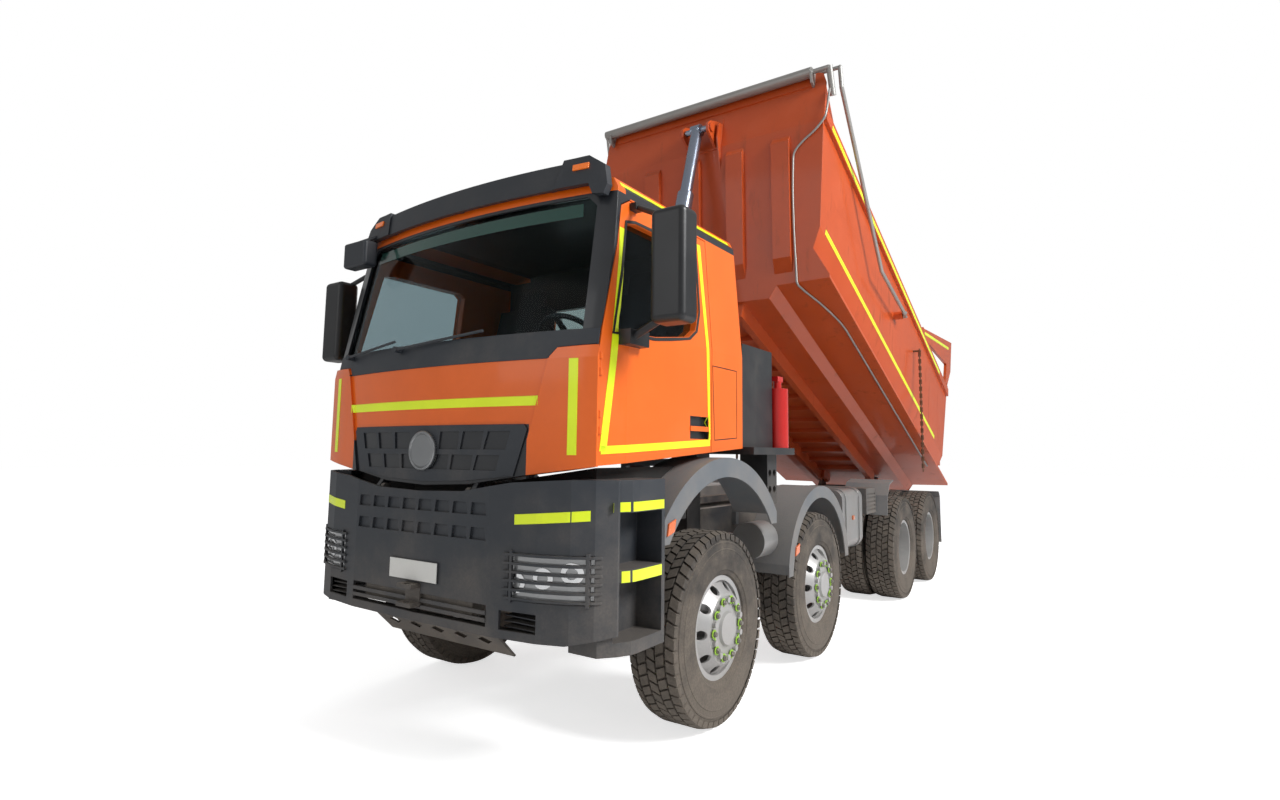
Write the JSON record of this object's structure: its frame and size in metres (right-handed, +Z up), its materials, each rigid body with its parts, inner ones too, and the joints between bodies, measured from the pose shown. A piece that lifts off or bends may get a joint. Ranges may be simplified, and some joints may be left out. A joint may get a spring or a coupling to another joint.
{
  "type": "dump truck",
  "caption": "Four-axle tipping lorry: half-pipe bed on a telescopic hoist, long-arm tailgate, tilting cab with doors, steered front axles.",
  "frame": {"origin": "on the ground under the middle of the truck's overall box, bed raised as it rests", "axes": "+Z up, -Y towards the cab's front, +X towards the driver's left as the driver looks ahead"},
  "size_m": [3.07, 9.3224, 5.1764],
  "materials": {
    "frame_paint": "satin dark grey, dusty",
    "cab_paint": "gloss bright orange",
    "bed_paint": "gloss red orange, dusty and rusting at edges",
    "gate_paint": "gloss red orange, dusty",
    "black_plastic": "matt black with dust",
    "bumper_shell": "matt dark grey with dust",
    "mudguard_plastic": "matt grey, scuffed",
    "grey_steel": "satin mid grey",
    "tank_metal": "brushed, dull",
    "wheel_silver": "silver, dusty",
    "tyre_rubber": "dusty",
    "cast_steel": "oily dark",
    "hoist_steel": "ground tube",
    "hoist_paint": "satin dark grey",
    "window_glass": "clear, lightly tinted",
    "lamp_lens": "clear and coloured lenses",
    "cabin_plastic": "grained dark grey",
    "red_gloss": "gloss red",
    "chain_steel": "rusty",
    "roll_metal": "painted blue grey",
    "cabinet_plastic": "dark grey"
  },
  "bodies": {
    "chassis": {"chassis_frame": "frame_paint", "bed_subframe": "frame_paint", "engine_block": "cast_steel", "driveline": "cast_steel", "front_axles": "cast_steel", "rear_axles": "cast_steel", "springs": "cast_steel", "front_bumper": "bumper_shell", "towing_gear": "frame_paint", "rear_coupling": "frame_paint", "steps": "bumper_shell", "mudguards": "mudguard_plastic", "fuel_tank": "tank_metal", "side_boxes": "grey_steel", "air_tanks": "grey_steel", "service_cabinet": "cabinet_plastic", "extinguisher": "red_gloss", "lamps": "lamp_lens"},
    "cab": {"cab_shell": "cab_paint", "cab_glass": "window_glass", "cab_grille": "black_plastic", "sun_visor": "black_plastic", "cab_interior": "cabin_plastic", "wipers": "black_plastic"},
    "bed": {"bed_tub": "bed_paint", "bed_frame": "bed_paint", "cover_roll": "roll_metal", "chains": "chain_steel"},
    "gate": {"tailgate": "gate_paint"},
    "cover_frame": {"cover_arms": "grey_steel"},
    "barrel": {"hoist_barrel": "hoist_paint"},
    "stage_1": {"hoist_stage_1": "hoist_steel"},
    "stage_2": {"hoist_stage_2": "hoist_steel"},
    "rod": {"hoist_rod": "hoist_steel"},
    "left_door": {"door_left": "cab_paint", "door_glass_left": "window_glass", "mirror_left": "black_plastic"},
    "left_knuckle_1": {"knuckle_1_left": "cast_steel"},
    "left_wheel_1": {"tyre_1_left": "tyre_rubber", "rim_1_left": "wheel_silver"},
    "left_knuckle_2": {"knuckle_2_left": "cast_steel"},
    "left_wheel_2": {"tyre_2_left": "tyre_rubber", "rim_2_left": "wheel_silver"},
    "left_wheels_3": {"tyres_3_left": "tyre_rubber", "rims_3_left": "wheel_silver"},
    "left_wheels_4": {"tyres_4_left": "tyre_rubber", "rims_4_left": "wheel_silver"},
    "right_door": {"door_right": "cab_paint", "door_glass_right": "window_glass", "mirror_right": "black_plastic"},
    "right_knuckle_1": {"knuckle_1_right": "cast_steel"},
    "right_wheel_1": {"tyre_1_right": "tyre_rubber", "rim_1_right": "wheel_silver"},
    "right_knuckle_2": {"knuckle_2_right": "cast_steel"},
    "right_wheel_2": {"tyre_2_right": "tyre_rubber", "rim_2_right": "wheel_silver"},
    "right_wheels_3": {"tyres_3_right": "tyre_rubber", "rims_3_right": "wheel_silver"},
    "right_wheels_4": {"tyres_4_right": "tyre_rubber", "rims_4_right": "wheel_silver"}
  },
  "joints": [
    {"name": "left_steer_1", "type": "hinge", "parent": "chassis", "child": "left_knuckle_1", "pos_m": [0.82, -3.27625, 0.57], "axis": [0, 0, 1], "range_deg": [-36, 36]},
    {"name": "left_wheel_spin_1", "type": "hinge", "parent": "left_knuckle_1", "child": "left_wheel_1", "pos_m": [1.05, -3.27625, 0.57], "axis": [1, 0, 0], "continuous": true},
    {"name": "right_steer_1", "type": "hinge", "parent": "chassis", "child": "right_knuckle_1", "pos_m": [-0.82, -3.27625, 0.57], "axis": [0, 0, 1], "range_deg": [-36, 36]},
    {"name": "right_wheel_spin_1", "type": "hinge", "parent": "right_knuckle_1", "child": "right_wheel_1", "pos_m": [-1.05, -3.27625, 0.57], "axis": [1, 0, 0], "continuous": true},
    {"name": "left_steer_2", "type": "hinge", "parent": "chassis", "child": "left_knuckle_2", "pos_m": [0.82, -1.57625, 0.57], "axis": [0, 0, 1], "range_deg": [-27, 27]},
    {"name": "left_wheel_spin_2", "type": "hinge", "parent": "left_knuckle_2", "child": "left_wheel_2", "pos_m": [1.05, -1.57625, 0.57], "axis": [1, 0, 0], "continuous": true},
    {"name": "right_steer_2", "type": "hinge", "parent": "chassis", "child": "right_knuckle_2", "pos_m": [-0.82, -1.57625, 0.57], "axis": [0, 0, 1], "range_deg": [-27, 27]},
    {"name": "right_wheel_spin_2", "type": "hinge", "parent": "right_knuckle_2", "child": "right_wheel_2", "pos_m": [-1.05, -1.57625, 0.57], "axis": [1, 0, 0], "continuous": true},
    {"name": "left_wheels_spin_3", "type": "hinge", "parent": "chassis", "child": "left_wheels_3", "pos_m": [1.09, 1.15375, 0.57], "axis": [1, 0, 0], "continuous": true},
    {"name": "right_wheels_spin_3", "type": "hinge", "parent": "chassis", "child": "right_wheels_3", "pos_m": [-1.09, 1.15375, 0.57], "axis": [1, 0, 0], "continuous": true},
    {"name": "left_wheels_spin_4", "type": "hinge", "parent": "chassis", "child": "left_wheels_4", "pos_m": [1.09, 2.50375, 0.57], "axis": [1, 0, 0], "continuous": true},
    {"name": "right_wheels_spin_4", "type": "hinge", "parent": "chassis", "child": "right_wheels_4", "pos_m": [-1.09, 2.50375, 0.57], "axis": [1, 0, 0], "continuous": true},
    {"name": "cab_tilt", "type": "hinge", "parent": "chassis", "child": "cab", "pos_m": [0, -4.54625, 1.4], "axis": [1, 0, 0], "range_deg": [0, 60]},
    {"name": "left_door_swing", "type": "hinge", "parent": "cab", "child": "left_door", "pos_m": [1.117, -4.41225, 1.9], "axis": [0, 0, 1], "range_deg": [-70, 0]},
    {"name": "right_door_swing", "type": "hinge", "parent": "cab", "child": "right_door", "pos_m": [-1.117, -4.41225, 1.9], "axis": [0, 0, -1], "range_deg": [-70, 0]},
    {"name": "bed_tip", "type": "hinge", "parent": "chassis", "child": "bed", "pos_m": [0, 3.06025, 1.2475], "axis": [-1, 0, 0], "range_deg": [-21.3, 23.7]},
    {"name": "gate_swing", "type": "hinge", "parent": "bed", "child": "gate", "pos_m": [0, 2.46754, 3.27854], "axis": [1, 0, 0], "range_deg": [0, 55]},
    {"name": "cover_swing", "type": "hinge", "parent": "bed", "child": "cover_frame", "pos_m": [0, 1.04615, 3.23917], "axis": [1, 0, 0], "range_deg": [-133, 0]},
    {"name": "hoist_lean", "type": "hinge", "parent": "chassis", "child": "barrel", "pos_m": [0, -2.57625, 1.18], "axis": [-1, 0, 0], "range_deg": [-11.6, 12.9]},
    {"name": "hoist_reach_1", "type": "slide", "parent": "barrel", "child": "stage_1", "axis": [0, 0.2864, 0.9581], "range_m": [-0.6637, 0.7383]},
    {"name": "hoist_reach_2", "type": "slide", "parent": "stage_1", "child": "stage_2", "axis": [0, 0.2864, 0.9581], "range_m": [-0.6637, 0.7383]},
    {"name": "hoist_reach_3", "type": "slide", "parent": "stage_2", "child": "rod", "axis": [0, 0.2864, 0.9581], "range_m": [-0.6637, 0.7383]}
  ],
  "couplings": [
    {"joint": "right_steer_1", "follows": "left_steer_1", "ratio": 1},
    {"joint": "left_steer_2", "follows": "left_steer_1", "ratio": 0.75},
    {"joint": "right_steer_2", "follows": "left_steer_1", "ratio": 0.75},
    {"joint": "hoist_lean", "follows": "bed_tip", "ratio": 0.54},
    {"joint": "hoist_reach_1", "follows": "bed_tip", "m_per_rad": 1.78},
    {"joint": "hoist_reach_2", "follows": "bed_tip", "m_per_rad": 1.78},
    {"joint": "hoist_reach_3", "follows": "bed_tip", "m_per_rad": 1.78}
  ]
}
